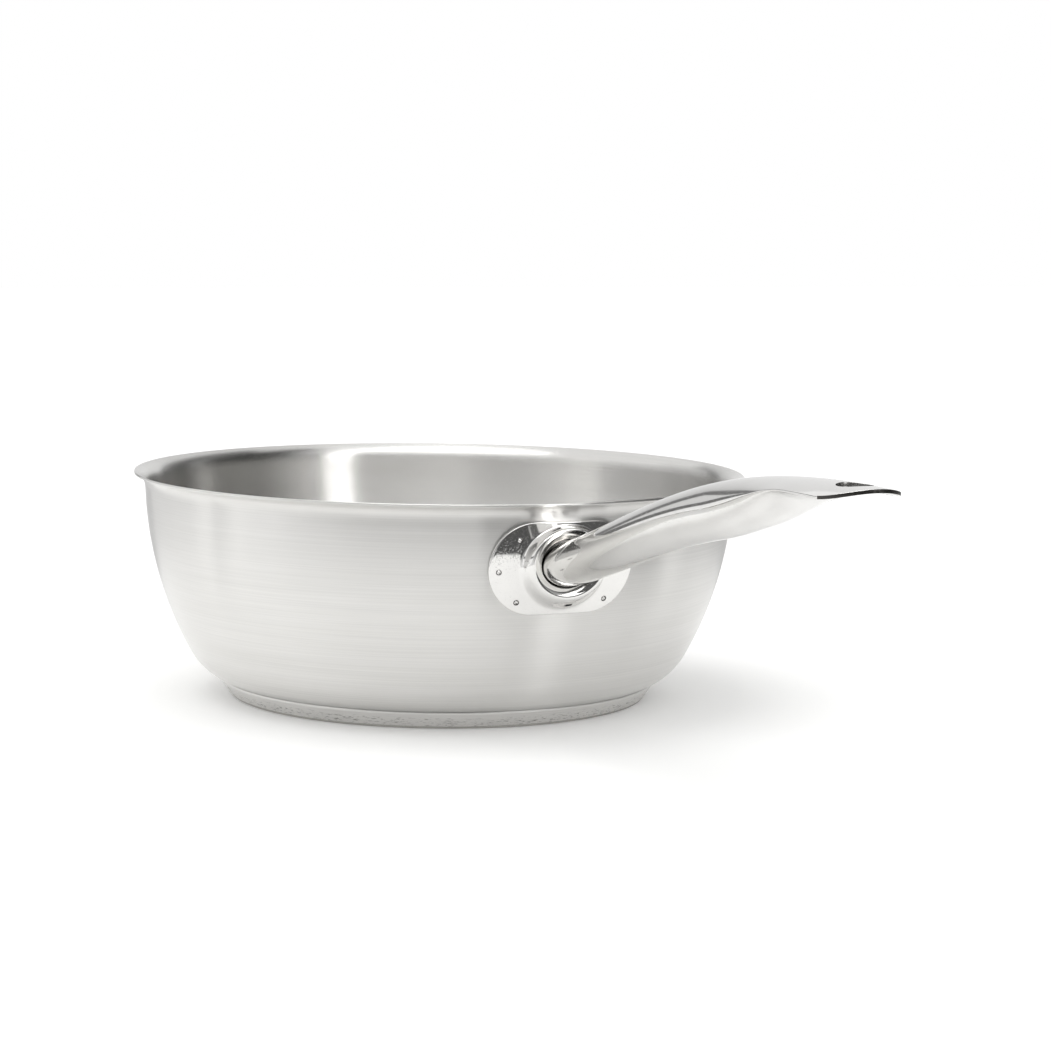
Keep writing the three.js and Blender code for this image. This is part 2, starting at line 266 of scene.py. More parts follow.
def cut_away(piece, cutter_mesh):
    cutter = add_object(piece.name + "_cutter", cutter_mesh)
    cut = piece.modifiers.new("cut", "BOOLEAN")
    cut.operation = "DIFFERENCE"
    cut.solver = "EXACT"
    cut.object = cutter
    as_plain_mesh(piece)
    bpy.data.objects.remove(cutter)
    return piece


def set_up(piece, slot, *nodes):
    """Rides the piece on the pan's one body and hides the frame's parts that it stands for."""
    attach(piece, "root")
    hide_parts(*nodes)


# Geometry Nodes

def start_tree(name, sockets):
    """A tree with named inputs, a finish and one piece of geometry as its result."""
    tree = bpy.data.node_groups.new(name, "GeometryNodeTree")
    for socket, kind in (*sockets, ("Finish", "NodeSocketMaterial")):
        tree.interface.new_socket(socket, in_out="INPUT", socket_type=kind)
    tree.interface.new_socket("Piece", in_out="OUTPUT", socket_type="NodeSocketGeometry")
    return tree, add_node(tree, "NodeGroupInput").outputs


def end_tree(tree, given, made):
    """Makes the instances real, and gives the piece its finish."""
    real = add_node(tree, "GeometryNodeRealizeInstances", inputs={"Geometry": made})
    finished = add_node(tree, "GeometryNodeSetMaterial", inputs={
        "Geometry": real.outputs["Geometry"], "Material": given["Finish"],
    })
    add_node(tree, "NodeGroupOutput", inputs={"Piece": finished.outputs["Geometry"]})


def turning_tree():
    """Turns an outline about the pan's axis."""
    tree, given = start_tree("turned_outline", [
        ("Outline", "NodeSocketGeometry"), ("Segments", "NodeSocketInt"),
        ("Turn Radius", "NodeSocketFloat"), ("Merge Distance", "NodeSocketFloat"),
    ])
    outline = add_node(tree, "GeometryNodeMeshToCurve", inputs={"Mesh": given["Outline"]})
    circle = add_node(tree, "GeometryNodeCurvePrimitiveCircle", inputs={
        "Resolution": given["Segments"], "Radius": given["Turn Radius"],
    })
    upright = add_node(tree, "GeometryNodeSetCurveNormal", {"mode": "Z_UP"}, {
        "Curve": circle.outputs["Curve"],
    })
    turned = add_node(tree, "GeometryNodeCurveToMesh", inputs={
        "Curve": upright.outputs["Curve"], "Profile Curve": outline.outputs["Curve"],
    })
    merged = add_node(tree, "GeometryNodeMergeByDistance", inputs={
        "Geometry": turned.outputs["Mesh"], "Distance": given["Merge Distance"],
    })
    end_tree(tree, given, merged.outputs["Geometry"])
    return tree


def weld_tree():
    """Puts one weld nugget at each place on the wall, square to it."""
    tree, given = start_tree("weld_pattern", [
        ("Places", "NodeSocketGeometry"), ("Nugget", "NodeSocketObject"),
    ])
    outward = add_node(tree, "GeometryNodeInputNamedAttribute", {"data_type": "FLOAT_VECTOR"}, {
        "Name": "outward",
    })
    turn = add_node(tree, "FunctionNodeAlignRotationToVector", {"axis": "Z"}, {
        "Vector": outward.outputs["Attribute"],
    })
    nugget = add_node(tree, "GeometryNodeObjectInfo", inputs={"Object": given["Nugget"]})
    placed = add_node(tree, "GeometryNodeInstanceOnPoints", inputs={
        "Points": given["Places"], "Instance": nugget.outputs["Geometry"],
        "Rotation": turn.outputs["Rotation"],
    })
    end_tree(tree, given, placed.outputs["Instances"])
    return tree


def run_tree(piece, tree, values):
    """Sets a tree's named inputs on the piece and turns the result into its mesh."""
    modifier = piece.modifiers.new(tree.name, "NODES")
    modifier.node_group = tree
    for item in tree.interface.items_tree:
        if item.in_out == "INPUT" and item.name in values:
            modifier[item.identifier] = values[item.name]
    return as_plain_mesh(piece)


TURNING = turning_tree()


def turned_piece(name, outline, finish, segments=TURN_SEGMENTS):
    """Turns (radius, height) points about the Z axis. The mesh keeps each point's distance
    along the outline, so that a brushed pattern can follow the sheet."""
    mesh = bpy.data.meshes.new(name)
    points = [((radius - TURN_RADIUS) * MM, -height * MM, 0) for radius, height in outline]
    mesh.from_pydata(points, [(place, place + 1) for place in range(len(points) - 1)], [])
    along = mesh.attributes.new("along", "FLOAT", "POINT")
    travelled = 0.0
    for place, point in enumerate(points):
        if place > 0:
            travelled += math.dist(point, points[place - 1])
        along.data[place].value = travelled
    piece = run_tree(add_object(name, mesh), TURNING, {
        "Segments": segments, "Turn Radius": TURN_RADIUS * MM,
        "Merge Distance": MERGE_DISTANCE * MM, "Finish": finish,
    })
    face_outwards(piece.data)
    shade_smooth(piece.data)
    return piece


# Bowl outline: floor, corner arc, wall arc and lip arc, each tangent to the next

UPRIGHT_HEIGHT = PAN_HEIGHT - UPRIGHT_DROP
LIP_SHARE = LIP_RADIUS / WALL_RADIUS
LIP_START = (PAN_HEIGHT - BOWL_SHEET - LIP_RADIUS + LIP_SHARE * UPRIGHT_HEIGHT) / (1 + LIP_SHARE)
LIP_ANGLE = math.asin((UPRIGHT_HEIGHT - LIP_START) / WALL_RADIUS)
UPRIGHT_RADIUS = RIM_RADIUS - LIP_RADIUS * math.cos(LIP_ANGLE) + WALL_RADIUS * (1 - math.cos(LIP_ANGLE))
WALL_CENTRE = (UPRIGHT_RADIUS - WALL_RADIUS, UPRIGHT_HEIGHT)
CORNER_HEIGHT = BASE_THICKNESS + CORNER_RADIUS
CORNER_ANGLE = math.asin((UPRIGHT_HEIGHT - CORNER_HEIGHT) / (WALL_RADIUS - CORNER_RADIUS))
FLOOR_RADIUS = WALL_CENTRE[0] + (WALL_RADIUS - CORNER_RADIUS) * math.cos(CORNER_ANGLE)
CORNER_CENTRE = (FLOOR_RADIUS, CORNER_HEIGHT)
LIP_CENTRE = (
    WALL_CENTRE[0] + (WALL_RADIUS + LIP_RADIUS) * math.cos(LIP_ANGLE),
    WALL_CENTRE[1] - (WALL_RADIUS + LIP_RADIUS) * math.sin(LIP_ANGLE),
)


def arc(centre, radius, start, end, steps=ARC_STEPS):
    """Points on an arc, with both of its ends."""
    turns = [mix(start, end, step / steps) for step in range(steps + 1)]
    return [(centre[0] + radius * math.cos(turn), centre[1] + radius * math.sin(turn)) for turn in turns]


def step_lengths(line):
    return [math.dist(*pair) for pair in zip(line, line[1:])]


def evened(line):
    """Redraws a line in even steps and softens where its arcs meet. Its ends stay."""
    lengths = step_lengths(line)
    count = round(sum(lengths) / OUTLINE_STEP)
    points = []
    for step in range(count):
        rest = step / count * sum(lengths)
        place = 0
        while rest > lengths[place]:
            rest -= lengths[place]
            place += 1
        share = rest / lengths[place]
        points.append([mix(low, high, share) for low, high in zip(line[place], line[place + 1])])
    points.append(list(line[-1]))
    for _ in range(OUTLINE_PASSES):
        middles = [
            [(before[axis] + 2 * point[axis] + after[axis]) / 4 for axis in (0, 1)]
            for before, point, after in zip(points, points[1:], points[2:])
        ]
        points = [points[0], *middles, points[-1]]
    return points


def floor_line(height):
    """A flat stretch from the axis to the start of the corner arc."""
    return [(FLOOR_RADIUS * step / ARC_STEPS, height) for step in range(ARC_STEPS)]


def bowl_skin(inset):
    """Floor, corner, wall and lip of the bowl, moved in from its outer face."""
    corner = arc(CORNER_CENTRE, CORNER_RADIUS - inset, -QUARTER, -CORNER_ANGLE)
    wall = arc(WALL_CENTRE, WALL_RADIUS - inset, -CORNER_ANGLE, -LIP_ANGLE, 2 * ARC_STEPS)
    lip_end = QUARTER + math.asin(RIM_ROUND / (LIP_RADIUS + inset))
    lip = arc(LIP_CENTRE, LIP_RADIUS + inset, math.pi - LIP_ANGLE, lip_end)
    return floor_line(BASE_THICKNESS + inset) + evened(corner + wall[1:] + lip[1:])


CORE_REACH = CORE_RADIUS - FLOOR_RADIUS

# Distances along the bowl's outer face, from its axis to the core's edge and to the rim
CORE_TRAVEL = FLOOR_RADIUS + CORNER_RADIUS * math.asin(CORE_REACH / CORNER_RADIUS)
RIM_TRAVEL = sum(step_lengths(bowl_skin(0)))


def vessel_outline():
    rim_low = (RIM_RADIUS - RIM_ROUND, PAN_HEIGHT - BOWL_SHEET + RIM_ROUND)
    rim_high = (RIM_RADIUS - RIM_ROUND, PAN_HEIGHT - RIM_ROUND)
    lower_rim = arc(rim_low, RIM_ROUND, -QUARTER, 0, RIM_STEPS)[1:]
    upper_rim = arc(rim_high, RIM_ROUND, 0, QUARTER, RIM_STEPS)[:-1]
    return bowl_skin(0) + lower_rim + upper_rim + bowl_skin(BOWL_SHEET)[::-1]


# Sandwich base outlines

def base_core_outline():
    foot = CORE_RADIUS - CORE_TAPER
    top = CORNER_HEIGHT - math.sqrt(CORNER_RADIUS ** 2 - CORE_REACH ** 2)
    seat_end = math.asin((CORE_REACH - 2 * CORE_GROOVE) / CORNER_RADIUS) - QUARTER
    seat = floor_line(BASE_THICKNESS) + arc(CORNER_CENTRE, CORNER_RADIUS, -QUARTER, seat_end)
    slant = math.atan2(CORE_TAPER, top - FOOT_THICKNESS)
    round_centre = (foot - CORE_EDGE_ROUND, FOOT_THICKNESS + CORE_EDGE_ROUND)
    foot_edge = arc(round_centre, CORE_EDGE_ROUND, -QUARTER, -slant, EDGE_STEPS)
    shoulder = top - CORE_GROOVE
    land = [
        (CORE_RADIUS - LAND_FOOT[0], shoulder - LAND_FOOT[1]), (CORE_RADIUS, shoulder - CORE_LAND),
        (CORE_RADIUS, shoulder - 2 * LAND_EDGE), (CORE_RADIUS - LAND_EDGE, shoulder),
        (CORE_RADIUS - 2 * CORE_GROOVE, shoulder - LAND_EDGE),
    ]
    return [(0, FOOT_THICKNESS)] + foot_edge + land + seat[::-1]


def base_plate_outline():
    low = (FOOT_RADIUS - FOOT_EDGE_ROUND, FOOT_EDGE_ROUND)
    edge = arc(low, FOOT_EDGE_ROUND, -QUARTER, 0, EDGE_STEPS)
    return [(0, 0)] + edge + [(FOOT_RADIUS, FOOT_THICKNESS), (0, FOOT_THICKNESS)]


# Handle plate: across and up are measured along the wall, and lift square to it

PLATE_CENTRE_HEIGHT = PAN_HEIGHT - PLATE_DROP
PLATE_ANGLE = math.asin((UPRIGHT_HEIGHT - PLATE_CENTRE_HEIGHT) / WALL_RADIUS)
PLATE_CENTRE_RADIUS = WALL_CENTRE[0] + WALL_RADIUS * math.cos(PLATE_ANGLE)
PLATE_FACE = PLATE_FIT_GAP + PLATE_SHEET
ROOT_ANGLE = math.atan(ROOT_SLOPE)
BORE_LEAN = math.tan(ROOT_ANGLE + PLATE_ANGLE)
BORE_HALF_WIDTH = ROOT_HALF_WIDTH + ROOT_CLEARANCE
BORE_STRETCH = math.cos(ROOT_ANGLE) / math.cos(ROOT_ANGLE + PLATE_ANGLE)
BORE_HALF_HEIGHT = ROOT_HALF_HEIGHT * BORE_STRETCH + ROOT_CLEARANCE


def on_wall(across, up, lift):
    tilt = PLATE_ANGLE - up / WALL_RADIUS
    radius = WALL_CENTRE[0] + (WALL_RADIUS + lift) * math.cos(tilt)
    turn = across / PLATE_CENTRE_RADIUS
    height = WALL_CENTRE[1] - (WALL_RADIUS + lift) * math.sin(tilt)
    return Vector((radius * math.cos(turn), radius * math.sin(turn), height))


def wall_normal(across, up):
    return (on_wall(across, up, 1) - on_wall(across, up, 0)).normalized()


def boss_lift(share):
    """Height of the boss above the wall, from its hole's edge at 0 to its foot at 1."""
    crown = PLATE_FACE + BOSS_CROWN_HEIGHT
    rim = PLATE_FACE + BOSS_RIM_HEIGHT
    if share < BOSS_CROWN_SHARE:
        return mix(rim, crown, math.sin(QUARTER * share / BOSS_CROWN_SHARE))
    return PLATE_FACE + BOSS_CROWN_HEIGHT * (1 - smooth_step(share, BOSS_CROWN_SHARE, 1))


def around_bore(angle, distance, lift):
    """Across and up of a point beside the boss's hole, which leans along the handle's axis."""
    across = (BORE_HALF_WIDTH + distance) * math.cos(angle)
    up = ROOT_RISE + (BORE_HALF_HEIGHT + distance) * math.sin(angle) + lift * BORE_LEAN
    return across, up


def around_boss(angle, share, lift):
    """The same, at a share of the boss's width."""
    return around_bore(angle, share * (BOSS_REACH - BOSS_SAG * math.sin(angle)), lift)


def on_outline(angle, inset):
    """Across and up of a point on the plate's outline: straight edges and round ends."""
    end_radius = PLATE_HEIGHT / 2 - inset
    end_centre = (PLATE_WIDTH - PLATE_HEIGHT) / 2
    side = math.copysign(1, math.cos(angle))
    reach = abs(math.cos(angle)) * (end_centre + end_radius)
    rise = abs(math.sin(angle)) * end_radius
    round_rise = math.sqrt(max(0.0, end_radius ** 2 - max(0.0, reach - end_centre) ** 2))
    return side * reach, math.copysign(max(rise, round_rise), math.sin(angle))


def plate_ring(place_at):
    return [on_wall(*place_at(angle)) for angle in full_turn(PLATE_SEGMENTS, 0.5)]


def boss_ring(share, drop):
    lift = boss_lift(share) - drop
    return plate_ring(lambda angle: (*around_boss(angle, share, lift), lift))


def lip_ring(inward, drop):
    """A ring on the edge of the boss's hole, which is rolled in towards the tube."""
    lift = boss_lift(0) - drop
    return plate_ring(lambda angle: (*around_bore(angle, -inward, lift), lift))


def face_ring(share):
    """A ring on the plate's flat face, between the boss's foot and the outline."""
    def place_at(angle):
        foot = around_boss(angle, 1, PLATE_FACE)
        edge = on_outline(angle, PLATE_EDGE_ROUND)
        return mix(foot[0], edge[0], share), mix(foot[1], edge[1], share), PLATE_FACE
    return plate_ring(place_at)


def edge_ring(inset, lift):
    return plate_ring(lambda angle: (*on_outline(angle, inset), lift))


def plate_mesh():
    boss_shares = [step / BOSS_STEPS for step in range(BOSS_STEPS + 1)]
    lip = [lip_ring(inward, drop) for inward, drop in BORE_LIP]
    outer = lip + [boss_ring(share, 0) for share in boss_shares]
    face = [face_ring(step / FACE_STEPS) for step in range(1, FACE_STEPS + 1)]
    edge_centre = (0, PLATE_FACE - PLATE_EDGE_ROUND)
    edge_turns = arc(edge_centre, PLATE_EDGE_ROUND, QUARTER, 0, EDGE_STEPS)[1:]
    edge = [edge_ring(PLATE_EDGE_ROUND - reach, lift) for reach, lift in edge_turns]
    back = [edge_ring(0, PLATE_FIT_GAP)]
    inner = [boss_ring(share, PLATE_SHEET) for share in boss_shares[::-1]]
    return mesh_from_rings("handle_plate_fine", outer + face + edge + back + inner, closed=True)


def weld_places():
    side_reach = PLATE_WIDTH / 2 - SIDE_WELD_INSET
    corner_reach = PLATE_WIDTH / 2 - CORNER_WELD_INSET
    corner_rise = PLATE_HEIGHT / 2 - CORNER_WELD_MARGIN
    sides = [(side * side_reach, -WELD_DROP) for side in (-1, 1)]
    corners = [
        (side * corner_reach, level * corner_rise - WELD_DROP) for side in (-1, 1) for level in (-1, 1)
    ]
    return sides + corners


def punch(outline, across, up, low, high):
    """A prism through the plate. Its outline is in (across, up) steps from its middle."""
    normal = wall_normal(across, up)
    level = Vector((0, 1, 0)).cross(normal).normalized()
    beside = normal.cross(level)
    middle = on_wall(across, up, 0)
    return [
        [middle + beside * step[0] + level * step[1] + normal * lift for step in outline]
        for lift in (low, high)
    ]


def plate_punches():
    """Holes around the welds, and the drain slot at the bottom of the boss."""
    ring = arc((0, 0), WELD_RADIUS + WELD_RING, 0, 4 * QUARTER, WELD_SEGMENTS)[:-1]
    punches = [punch(ring, across, up, -PLATE_FACE, 2 * PLATE_FACE) for across, up in weld_places()]
    slot_lift = boss_lift(DRAIN_SLOT_SHARE)
    slot_up = around_boss(-QUARTER, DRAIN_SLOT_SHARE, slot_lift)[1]
    end_radius = DRAIN_SLOT_WIDTH / 2
    end_centre = DRAIN_SLOT_LENGTH / 2 - end_radius
    right_end = arc((end_centre, 0), end_radius, -QUARTER, QUARTER, SLOT_STEPS)
    left_end = arc((-end_centre, 0), end_radius, QUARTER, 3 * QUARTER, SLOT_STEPS)
    reach = 2 * PLATE_SHEET
    punches.append(punch(
        right_end + left_end, DRAIN_SLOT_OFFSET, slot_up, slot_lift - reach, slot_lift + reach,
    ))
    joined = bmesh.new()
    for rings in punches:
        joined.from_mesh(mesh_from_rings("punch", rings, closed=False))
    mesh = bpy.data.meshes.new("plate_punches")
    joined.to_mesh(mesh)
    joined.free()
    return mesh


def nugget_outline():
    """A weld nugget: a pressed dimple in a low crown."""
    return [
        (0, PLATE_FIT_GAP), (WELD_RADIUS, PLATE_FIT_GAP), (WELD_RADIUS, PLATE_FACE - WELD_CROWN),
        (WELD_SHOULDER_SHARE * WELD_RADIUS, PLATE_FACE),
        (WELD_CROWN_SHARE * WELD_RADIUS, PLATE_FACE + WELD_CROWN),
        (WELD_DIMPLE_SHARE * WELD_RADIUS, PLATE_FACE), (0, PLATE_FACE - WELD_CROWN),
    ]


def spot_weld_piece(finish):
    nugget = turned_piece("nugget", nugget_outline(), finish, WELD_SEGMENTS)
    mesh = bpy.data.meshes.new("spot_welds")
    mesh.from_pydata([on_wall(across, up, 0) * MM for across, up in weld_places()], [], [])
    outward = mesh.attributes.new("outward", "FLOAT_VECTOR", "POINT")
    for place, (across, up) in enumerate(weld_places()):
        outward.data[place].vector = wall_normal(across, up)
    welds = run_tree(add_object("spot_welds", mesh), weld_tree(), {"Nugget": nugget, "Finish": finish})
    bpy.data.objects.remove(nugget)
    shade_smooth(welds.data)
    return welds


# Handle tube: rings along +X under one upper line, flattened towards it at the tip

ROOT_X = PLATE_CENTRE_RADIUS + ROOT_GAP
TIP_ARC_X = TIP_X - TONGUE_HALF_WIDTH
HOLE_X = TIP_X - HANG_HOLE_SETBACK
HOLE_RADIUS = HANG_HOLE_DIAMETER / 2
RIDGE_ROOT = PLATE_CENTRE_HEIGHT + ROOT_RISE + ROOT_HALF_HEIGHT
RIDGE_TIP = RIDGE_ROOT + RIDGE_RISE
RIDGE_POINTS = (
    (PLATE_CENTRE_RADIUS, RIDGE_ROOT),
    (PLATE_CENTRE_RADIUS + ROOT_PULL, RIDGE_ROOT + ROOT_PULL * ROOT_SLOPE),
    (TIP_X - TIP_PULL, RIDGE_TIP - TIP_PULL * TIP_SLOPE),
    (TIP_X, RIDGE_TIP),
)


def ridge_point(share):
    """A point on the handle's upper line, which is one smooth curve."""
    rest = 1 - share
    weights = (rest ** 3, 3 * rest ** 2 * share, 3 * rest * share ** 2, share ** 3)
    return [sum(weight * point[axis] for weight, point in zip(weights, RIDGE_POINTS)) for axis in (0, 1)]


def ridge_height(x):
    low, high = 0.0, 1.0
    for _ in range(HALVINGS):
        middle = (low + high) / 2
        if ridge_point(middle)[0] < x:
            low = middle
        else:
            high = middle
    return ridge_point(low)[1]


def section_at(x):
    """Sizes of the tube's section at a place along +X."""
    taper = smooth_step(x, PLATE_CENTRE_RADIUS, PLATE_CENTRE_RADIUS + ROOT_TAPER_LENGTH)
    top_press = smooth_step(x, TIP_X - TOP_PRESS_START, TIP_X - TOP_PRESS_END)
    belly_press = smooth_step(x, TIP_X - BELLY_PRESS_START, TIP_X - BELLY_PRESS_END)
    half = mix(ROOT_HALF_HEIGHT, GRIP_RADIUS, taper)
    widen = smooth_step(x, TIP_X - TOP_PRESS_START, TIP_ARC_X)
    crown = mix(half, TONGUE_CROWN, top_press)
    return {
        "x": x,
        "half_width": mix(mix(ROOT_HALF_WIDTH, GRIP_RADIUS, taper), TONGUE_HALF_WIDTH, widen),
        "crown": crown,
        "belly": mix(half, -TONGUE_CROWN, belly_press),
        "edge": 2 * TUBE_SHEET * belly_press,
        "edge_height": ridge_height(x) - crown,
        "top_power": 1 + top_press ** TOP_PRESS_POWER,
        "belly_power": 1 + belly_press,
        "lean": math.tan(PLATE_ANGLE) * (1 - smooth_step(x, ROOT_X, ROOT_X + LEAN_LENGTH)),
    }


def tube_heights(section, y, inset=0.0):
    """Heights of the tube's upper and lower skin at a distance across it."""
    middle = section["edge"] / 2 if inset > 0 else 0.0
    fullness = math.sqrt(max(0.0, 1 - (y / (section["half_width"] - inset)) ** 2))
    upper = (section["crown"] + middle - inset) * fullness ** section["top_power"] - middle
    lower = (section["belly"] + middle - inset) * fullness ** section["belly_power"] - middle
    return upper, -lower - section["edge"]


def rim_distance(section, y):
    """How far inside the tube's outline, seen from above, a point is."""
    return section["half_width"] - math.hypot(max(0.0, section["x"] - TIP_ARC_X), y)


def edge_roundings(section, y):
    """What the tongue's rounded edges take off its upper and lower face."""
    inside = rim_distance(section, y)
    taken = []
    for full_radius in EDGE_ROUNDS:
        radius = full_radius * section["edge"] / (2 * TUBE_SHEET)
        over = min(radius, max(0.0, radius - inside))
        taken.append(radius - math.sqrt(radius ** 2 - over ** 2))
    return taken


def tube_ring(section, inset=0.0, trim=math.inf):
    """One ring of the tube. The trim is the half width that the round tip leaves."""
    limit = min(section["half_width"] - inset, trim)
    ring = []
    for angle in full_turn(TUBE_SIDES, 0.5):
        y = limit * math.cos(angle)
        upper, lower = tube_heights(section, y, inset)
        above, below = edge_roundings(section, y) if inset == 0 else (0.0, 0.0)
        height = upper - above if math.sin(angle) > 0 else lower + below
        ring.append(Vector((section["x"] + section["lean"] * height, y, section["edge_height"] + height)))
    return ring


def stations(start, end, count):
    return [mix(start, end, step / count) for step in range(count)]


def handle_mesh():
    count = round((TIP_ARC_X - ROOT_X) / TUBE_RING_SPACING)
    outer = [tube_ring(section_at(x)) for x in stations(ROOT_X, TIP_ARC_X, count)]
    for turn in stations(0, QUARTER, TIP_RINGS):
        tip_x = TIP_ARC_X + TONGUE_HALF_WIDTH * math.sin(turn)
        outer.append(tube_ring(section_at(tip_x), trim=TONGUE_HALF_WIDTH * math.cos(turn)))
    sections = [section_at(x) for x in stations(ROOT_X, TIP_ARC_X, BORE_RINGS)]
    hollow = [
        section for section in sections
        if section["crown"] + section["belly"] + section["edge"] > 2 * TUBE_SHEET + LEAST_BORE
    ]
    inner = [tube_ring(section, TUBE_SHEET) for section in hollow]
    return mesh_from_rings("handle_tube_fine", inner[::-1] + outer, closed=False)


def hang_hole_mesh():
    """A punch for the hang hole, flared at both faces so that it leaves rounded edges."""
    def ring(radius, face, depth):
        points = []
        for turn in full_turn(HOLE_SEGMENTS):
            x = HOLE_X + radius * math.cos(turn)
            y = radius * math.sin(turn)
            section = section_at(x)
            points.append(Vector((x, y, section["edge_height"] + tube_heights(section, y)[face] - depth)))
        return points

    def flare(edge_round):
        centre = (HOLE_RADIUS + edge_round, edge_round)
        return arc(centre, edge_round, 3 * QUARTER, 2 * QUARTER, EDGE_STEPS)

    upper = [ring(radius, 0, depth) for radius, depth in flare(EDGE_ROUNDS[0])]
    lower = [ring(radius, 1, -depth) for radius, depth in flare(EDGE_ROUNDS[1])[::-1]]
    top = ring(HOLE_RADIUS + EDGE_ROUNDS[0], 0, -GRIP_RADIUS)
    bottom = ring(HOLE_RADIUS + EDGE_ROUNDS[1], 1, GRIP_RADIUS)
    return mesh_from_rings("hang_hole", [top] + upper + lower + [bottom], closed=False)


def mark_cut_edges_dull_and_shaded(mesh):
    """Marks the cut faces of the flattened end, its rim and the wall of its hang hole, which are made dull
    and given painted shade.
    """
    sheared = mesh.attributes.new("sheared", "FLOAT", "FACE")
    for face in mesh.polygons:
        x, y, _ = face.center / MM
        if abs(face.normal.z) > SHEARED_SLOPE:
            continue
        if math.hypot(x - HOLE_X, y) < HOLE_RADIUS + SHEARED_MARGIN:
            sheared.data[face.index].value = HOLE_WALL_DULL_AND_SHADE
        elif x > TIP_X - SHEARED_LENGTH and rim_distance(section_at(x), y) < SHEARED_MARGIN:
            sheared.data[face.index].value = 1.0


# Finishes

def new_material(name):
    material = bpy.data.materials.new(name)
    material.use_nodes = True
    material.node_tree.nodes.clear()
    return material, material.node_tree


def brush_lines(tree, stroke, spacing, detail, roughness=0.5):
    """Noise drawn out into lines round the pan. The stroke is how long a line runs, and the
    spacing how far apart the lines are along the outline, in millimetres."""
    place = add_node(tree, "ShaderNodeTexCoord")
    along = add_node(tree, "ShaderNodeAttribute", {"attribute_name": "along"})
    round_pan = add_node(tree, "ShaderNodeVectorMath", {"operation": "MULTIPLY"}, {
        0: place.outputs["Object"], 1: (1 / (stroke * MM), 1 / (stroke * MM), 0),
    })
    step = add_node(tree, "ShaderNodeMath", {"operation": "DIVIDE"}, {
        0: along.outputs["Fac"], 1: spacing * MM,
    })
    lines = add_node(tree, "ShaderNodeCombineXYZ", inputs={"Z": step.outputs["Value"]})
    vector = add_node(tree, "ShaderNodeVectorMath", {"operation": "ADD"}, {
        0: round_pan.outputs["Vector"], 1: lines.outputs["Vector"],
    })
    return add_node(tree, "ShaderNodeTexNoise", inputs={
        "Vector": vector.outputs["Vector"], "Scale": 1.0, "Detail": detail, "Roughness": roughness,
    }).outputs["Fac"]


def metal_surface(tree, relief, strength, depth, look):
    """Ends a metal's tree. The relief is a pattern, and its depth is in millimetres."""
    bump = add_node(tree, "ShaderNodeBump", inputs={
        "Strength": strength, "Distance": depth * MM, "Height": relief,
    })
    surface = add_node(tree, "ShaderNodeBsdfPrincipled", inputs={
        "Metallic": 1.0, "Normal": bump.outputs["Normal"], **look,
    })
    add_node(tree, "ShaderNodeOutputMaterial", inputs={"Surface": surface.outputs["BSDF"]})


def brushed_stainless():
    """18/10 stainless sheet, satin brushed on a spinning chuck. The eye sees lines round the pan,
    and reflections that smear up and down across them. The real lines lie about 0.1 mm apart, too
    fine for the picture, so they are drawn at 0.45 mm. The inside is brushed finer, and painted
    shade makes it a little darker than the outside. Where the bowl turns in to its base, painted
    shade darkens the sheet too."""
    material, tree = new_material("brushed_stainless")
    fine = brush_lines(tree, stroke=110, spacing=0.45, detail=2.0, roughness=0.6)
    broad = brush_lines(tree, stroke=60, spacing=5, detail=3.0)
    tone = add_node(tree, "ShaderNodeMix", {"data_type": "RGBA"}, {
        "Factor": broad, 6: linear_colour("e3e2df"), 7: linear_colour("ebeae8"),
    })
    line = add_node(tree, "ShaderNodeMapRange", inputs={
        "Value": fine, "From Min": 0.3, "From Max": 0.7, "To Min": 0.965, "To Max": 1.035,
    })
    along = add_node(tree, "ShaderNodeAttribute", {"attribute_name": "along"})
    # Painted shade: the sheet darkens near the core's edge, where the bowl turns in to its base
    painted_corner_shade = add_node(tree, "ShaderNodeMapRange", inputs={
        "Value": along.outputs["Fac"], "From Min": CORE_TRAVEL * MM,
        "From Max": (CORE_TRAVEL + CORNER_SHADE_REACH) * MM, "To Min": 0.72,
    })
    over_rim = {
        "Value": along.outputs["Fac"], "From Min": (RIM_TRAVEL - RIM_FADE) * MM,
        "From Max": (RIM_TRAVEL + RIM_FADE) * MM,
    }
    # Painted shade: the inside of the bowl is a little darker than the outside
    painted_inside_shade = add_node(tree, "ShaderNodeMapRange", inputs={**over_rim, "To Min": 1.0, "To Max": 0.92})
    painted_shade = add_node(tree, "ShaderNodeMath", {"operation": "MULTIPLY"}, {
        0: painted_corner_shade.outputs["Result"], 1: painted_inside_shade.outputs["Result"],
    })
    shade = add_node(tree, "ShaderNodeMath", {"operation": "MULTIPLY"}, {
        0: line.outputs["Result"], 1: painted_shade.outputs["Value"],
    })
    colour = add_node(tree, "ShaderNodeVectorMath", {"operation": "SCALE"}, {
        0: tone.outputs[2], "Scale": shade.outputs["Value"],
    })
    smear = add_node(tree, "ShaderNodeMapRange", inputs={**over_rim, "To Min": 0.3, "To Max": 0.27})
    tangent = add_node(tree, "ShaderNodeTangent", {"direction_type": "RADIAL", "axis": "Z"})
    metal_surface(tree, fine, strength=0.2, depth=0.01, look={
        "Base Color": colour.outputs["Vector"], "Roughness": smear.outputs["Result"],
        "Anisotropic": 1.0, "Anisotropic Rotation": 0.25, "Tangent": tangent.outputs["Tangent"],
    })
    return material


